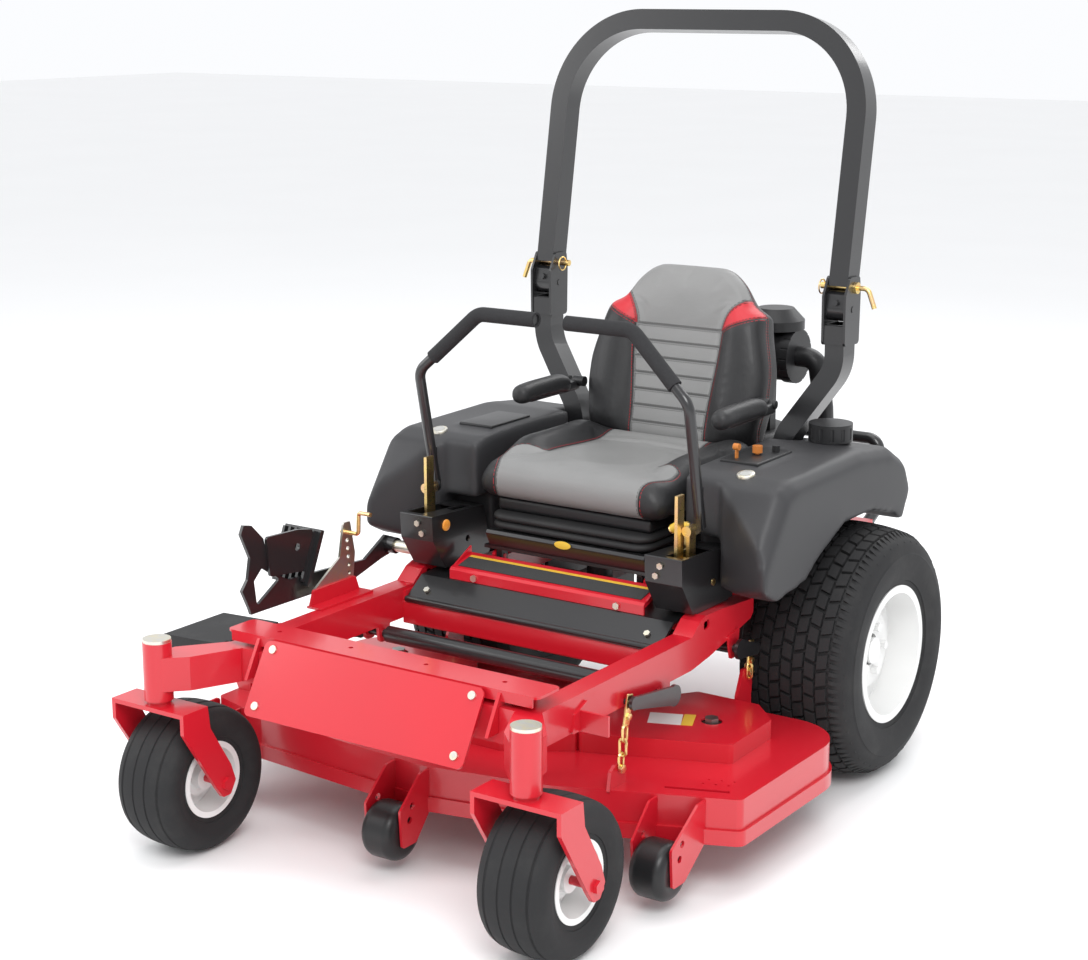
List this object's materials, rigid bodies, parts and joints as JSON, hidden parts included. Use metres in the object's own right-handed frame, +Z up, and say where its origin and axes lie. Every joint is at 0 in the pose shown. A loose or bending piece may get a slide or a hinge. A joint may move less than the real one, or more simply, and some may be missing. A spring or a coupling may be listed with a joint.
{
  "type": "zero turn mower",
  "caption": "Ride-on zero-turn lawn mower with caster front wheels, folding roll bar, sprung-pan seat, steering lap bars and a side-discharge deck.",
  "frame": {"origin": "on the ground under the middle of the bounding box", "axes": "+X to the driver's left, +Y towards the rear, +Z up"},
  "size_m": [1.623, 2.0169, 1.812],
  "materials": {
    "red_paint": "gloss",
    "black_paint": "gloss",
    "zinc": "satin",
    "yellow_zinc": "satin",
    "white_rim": "satin",
    "tyre_rubber": "matt",
    "tank_plastic": "textured",
    "black_plastic": "satin",
    "foam": "matt",
    "vinyl": "grained",
    "cast_metal": "painted",
    "blade_steel": "worn",
    "chute_rubber": "matt",
    "roller_plastic": "satin",
    "orange_plastic": "gloss"
  },
  "bodies": {
    "chassis": {"side_rails": "red_paint", "front_axle": "red_paint", "cross_members": "red_paint", "name_plate": "red_paint", "foot_pan": "black_paint", "foot_rest": "red_paint", "control_towers": "black_paint", "fuel_tanks": "tank_plastic", "rops_posts": "black_paint", "engine": "cast_metal", "air_cleaner": "black_plastic", "hydro_drives": "cast_metal", "rear_guard": "black_paint", "zinc_fasteners": "zinc", "lift_selector": "zinc"},
    "seat_base": {"seat_platform": "black_paint"},
    "seat": {"seat_cushion": "vinyl", "seat_back": "vinyl"},
    "deck": {"deck_shell": "red_paint", "belt_covers": "red_paint", "spindle_housings": "cast_metal", "deck_hangers": "yellow_zinc"},
    "chute": {"discharge_chute": "chute_rubber"},
    "front_lift": {"lift_shaft_front": "black_paint"},
    "rear_lift": {"lift_shaft_rear": "black_paint"},
    "pedal": {"lift_pedal": "black_paint"},
    "lift_pin": {"height_pin": "yellow_zinc"},
    "brake": {"park_brake": "yellow_zinc"},
    "cap": {"fuel_cap": "black_plastic"},
    "throttle": {"throttle_lever": "orange_plastic"},
    "pto": {"pto_switch": "orange_plastic"},
    "key": {"ignition_key": "black_plastic"},
    "clutch": {"clutch_pulley": "blade_steel"},
    "hoop": {"rops_hoop": "black_paint"},
    "caster_left": {"caster_fork_left": "red_paint"},
    "caster_wheel_left": {"caster_rim_left": "white_rim", "caster_tyre_left": "tyre_rubber"},
    "drive_wheel_left": {"rear_rim_left": "white_rim", "rear_tyre_left": "tyre_rubber"},
    "lever_left": {"lever_base_left": "yellow_zinc"},
    "bar_left": {"lap_bar_left": "black_paint", "lap_grip_left": "foam"},
    "lock_pin_left": {"rops_pin_left": "yellow_zinc"},
    "arm_left": {"armrest_left": "vinyl"},
    "caster_right": {"caster_fork_right": "red_paint"},
    "caster_wheel_right": {"caster_rim_right": "white_rim", "caster_tyre_right": "tyre_rubber"},
    "drive_wheel_right": {"rear_rim_right": "white_rim", "rear_tyre_right": "tyre_rubber"},
    "lever_right": {"lever_base_right": "yellow_zinc"},
    "bar_right": {"lap_bar_right": "black_paint", "lap_grip_right": "foam"},
    "lock_pin_right": {"rops_pin_right": "yellow_zinc"},
    "arm_right": {"armrest_right": "vinyl"},
    "blade_left": {"blade_spindle_left": "blade_steel"},
    "blade_centre": {"blade_spindle_centre": "blade_steel"},
    "blade_right": {"blade_spindle_right": "blade_steel"},
    "scalp_roller_left": {"roller_left": "roller_plastic"},
    "scalp_roller_centre": {"roller_centre": "roller_plastic"},
    "scalp_roller_right": {"roller_right": "roller_plastic"}
  },
  "joints": [
    {"name": "caster_swivel_left", "type": "hinge", "parent": "chassis", "child": "caster_left", "pos_m": [0.6135, -0.9315, 0.43], "axis": [0, 0, 1], "continuous": true},
    {"name": "caster_roll_left", "type": "hinge", "parent": "caster_left", "child": "caster_wheel_left", "pos_m": [0.6135, -0.8435, 0.165], "axis": [1, 0, 0], "continuous": true},
    {"name": "drive_left", "type": "hinge", "parent": "chassis", "child": "drive_wheel_left", "pos_m": [0.6225, 0.4165, 0.305], "axis": [1, 0, 0], "continuous": true},
    {"name": "lever_stroke_left", "type": "hinge", "parent": "chassis", "child": "lever_left", "pos_m": [0.4965, -0.1105, 0.59], "axis": [1, 0, 0], "range_deg": [-18, 18]},
    {"name": "bar_swing_left", "type": "hinge", "parent": "lever_left", "child": "bar_left", "pos_m": [0.4945, -0.1105, 0.69], "axis": [0, 1, 0], "range_deg": [0, 38]},
    {"name": "lock_pull_left", "type": "slide", "parent": "chassis", "child": "lock_pin_left", "axis": [1, 0, 0], "range_m": [0, 0.008]},
    {"name": "armrest_left", "type": "hinge", "parent": "seat", "child": "arm_left", "pos_m": [0.3925, 0.4005, 0.882], "axis": [1, 0, 0], "range_deg": [-88, 0]},
    {"name": "caster_swivel_right", "type": "hinge", "parent": "chassis", "child": "caster_right", "pos_m": [-0.3525, -0.9315, 0.43], "axis": [0, 0, 1], "continuous": true},
    {"name": "caster_roll_right", "type": "hinge", "parent": "caster_right", "child": "caster_wheel_right", "pos_m": [-0.3525, -0.8435, 0.165], "axis": [1, 0, 0], "continuous": true},
    {"name": "drive_right", "type": "hinge", "parent": "chassis", "child": "drive_wheel_right", "pos_m": [-0.3615, 0.4165, 0.305], "axis": [1, 0, 0], "continuous": true},
    {"name": "lever_stroke_right", "type": "hinge", "parent": "chassis", "child": "lever_right", "pos_m": [-0.2355, -0.1105, 0.59], "axis": [1, 0, 0], "range_deg": [-18, 18]},
    {"name": "bar_swing_right", "type": "hinge", "parent": "lever_right", "child": "bar_right", "pos_m": [-0.2335, -0.1105, 0.69], "axis": [0, -1, 0], "range_deg": [0, 38]},
    {"name": "lock_pull_right", "type": "slide", "parent": "chassis", "child": "lock_pin_right", "axis": [-1, 0, 0], "range_m": [0, 0.008]},
    {"name": "armrest_right", "type": "hinge", "parent": "seat", "child": "arm_right", "pos_m": [-0.1315, 0.4005, 0.882], "axis": [1, 0, 0], "range_deg": [-88, 0]},
    {"name": "hoop_fold", "type": "hinge", "parent": "chassis", "child": "hoop", "pos_m": [0.1305, 0.4885, 1.116], "axis": [1, 0, 0], "range_deg": [-90, 0]},
    {"name": "seat_tip", "type": "hinge", "parent": "chassis", "child": "seat_base", "pos_m": [0.1305, -0.0455, 0.53], "axis": [1, 0, 0], "range_deg": [0, 35]},
    {"name": "seat_slide", "type": "slide", "parent": "seat_base", "child": "seat", "axis": [0, 1, 0], "range_m": [-0.09, 0]},
    {"name": "deck_lift", "type": "slide", "parent": "chassis", "child": "deck", "axis": [0, 0, 1], "range_m": [-0.025, 0.02]},
    {"name": "front_rock", "type": "hinge", "parent": "chassis", "child": "front_lift", "pos_m": [0.1305, -0.2985, 0.37], "axis": [1, 0, 0], "range_deg": [-7.5, 9.2]},
    {"name": "rear_rock", "type": "hinge", "parent": "chassis", "child": "rear_lift", "pos_m": [0.1305, -0.0015, 0.395], "axis": [1, 0, 0], "range_deg": [-20.5, 16.5]},
    {"name": "pedal_push", "type": "hinge", "parent": "chassis", "child": "pedal", "pos_m": [-0.3395, -0.1435, 0.538], "axis": [1, 0, 0], "range_deg": [-9.2, 7.5]},
    {"name": "height_pin_pull", "type": "slide", "parent": "chassis", "child": "lift_pin", "axis": [1, 0, 0], "range_m": [0, 0.03]},
    {"name": "chute_lift", "type": "hinge", "parent": "deck", "child": "chute", "pos_m": [-0.5715, -0.3885, 0.322], "axis": [0, 1, 0], "range_deg": [0, 75]},
    {"name": "brake_pull", "type": "hinge", "parent": "chassis", "child": "brake", "pos_m": [0.4525, -0.0535, 0.56], "axis": [1, 0, 0], "range_deg": [0, 12]},
    {"name": "cap_turn", "type": "hinge", "parent": "chassis", "child": "cap", "pos_m": [0.5705, 0.4165, 0.8], "axis": [0, 0, 1], "range_deg": [0, 100]},
    {"name": "throttle_move", "type": "hinge", "parent": "chassis", "child": "throttle", "pos_m": [0.4825, 0.1135, 0.8119], "axis": [1, 0, 0], "range_deg": [-25, 25]},
    {"name": "pto_pull", "type": "slide", "parent": "chassis", "child": "pto", "axis": [0, 0, 1], "range_m": [0, 0.008]},
    {"name": "key_turn", "type": "hinge", "parent": "chassis", "child": "key", "pos_m": [0.5245, 0.2265, 0.8], "axis": [0, 0, 1], "range_deg": [0, 90]},
    {"name": "clutch_spin", "type": "hinge", "parent": "chassis", "child": "clutch", "pos_m": [0.1305, 0.7265, 0.4], "axis": [0, 0, 1], "continuous": true},
    {"name": "blade_spin_left", "type": "hinge", "parent": "deck", "child": "blade_left", "pos_m": [0.5745, -0.1435, 0.132], "axis": [0, 0, 1], "continuous": true},
    {"name": "blade_spin_centre", "type": "hinge", "parent": "deck", "child": "blade_centre", "pos_m": [0.1305, -0.3735, 0.132], "axis": [0, 0, 1], "continuous": true},
    {"name": "blade_spin_right", "type": "hinge", "parent": "deck", "child": "blade_right", "pos_m": [-0.3135, -0.1435, 0.132], "axis": [0, 0, 1], "continuous": true},
    {"name": "roller_turn_left", "type": "hinge", "parent": "deck", "child": "scalp_roller_left", "pos_m": [0.6865, -0.5575, 0.09], "axis": [1, 0, 0], "continuous": true},
    {"name": "roller_turn_centre", "type": "hinge", "parent": "deck", "child": "scalp_roller_centre", "pos_m": [0.1005, -0.7045, 0.09], "axis": [1, 0, 0], "continuous": true},
    {"name": "roller_turn_right", "type": "hinge", "parent": "deck", "child": "scalp_roller_right", "pos_m": [-0.5015, -0.6335, 0.09], "axis": [1, 0, 0], "continuous": true}
  ],
  "couplings": [
    {"joint": "front_rock", "follows": "deck_lift", "rad_per_m": -6.06},
    {"joint": "rear_rock", "follows": "deck_lift", "rad_per_m": 13.7},
    {"joint": "pedal_push", "follows": "deck_lift", "rad_per_m": 6},
    {"joint": "blade_spin_left", "follows": "blade_spin_centre", "ratio": 1},
    {"joint": "blade_spin_right", "follows": "blade_spin_centre", "ratio": 1},
    {"joint": "clutch_spin", "follows": "blade_spin_centre", "ratio": 0.9394}
  ]
}
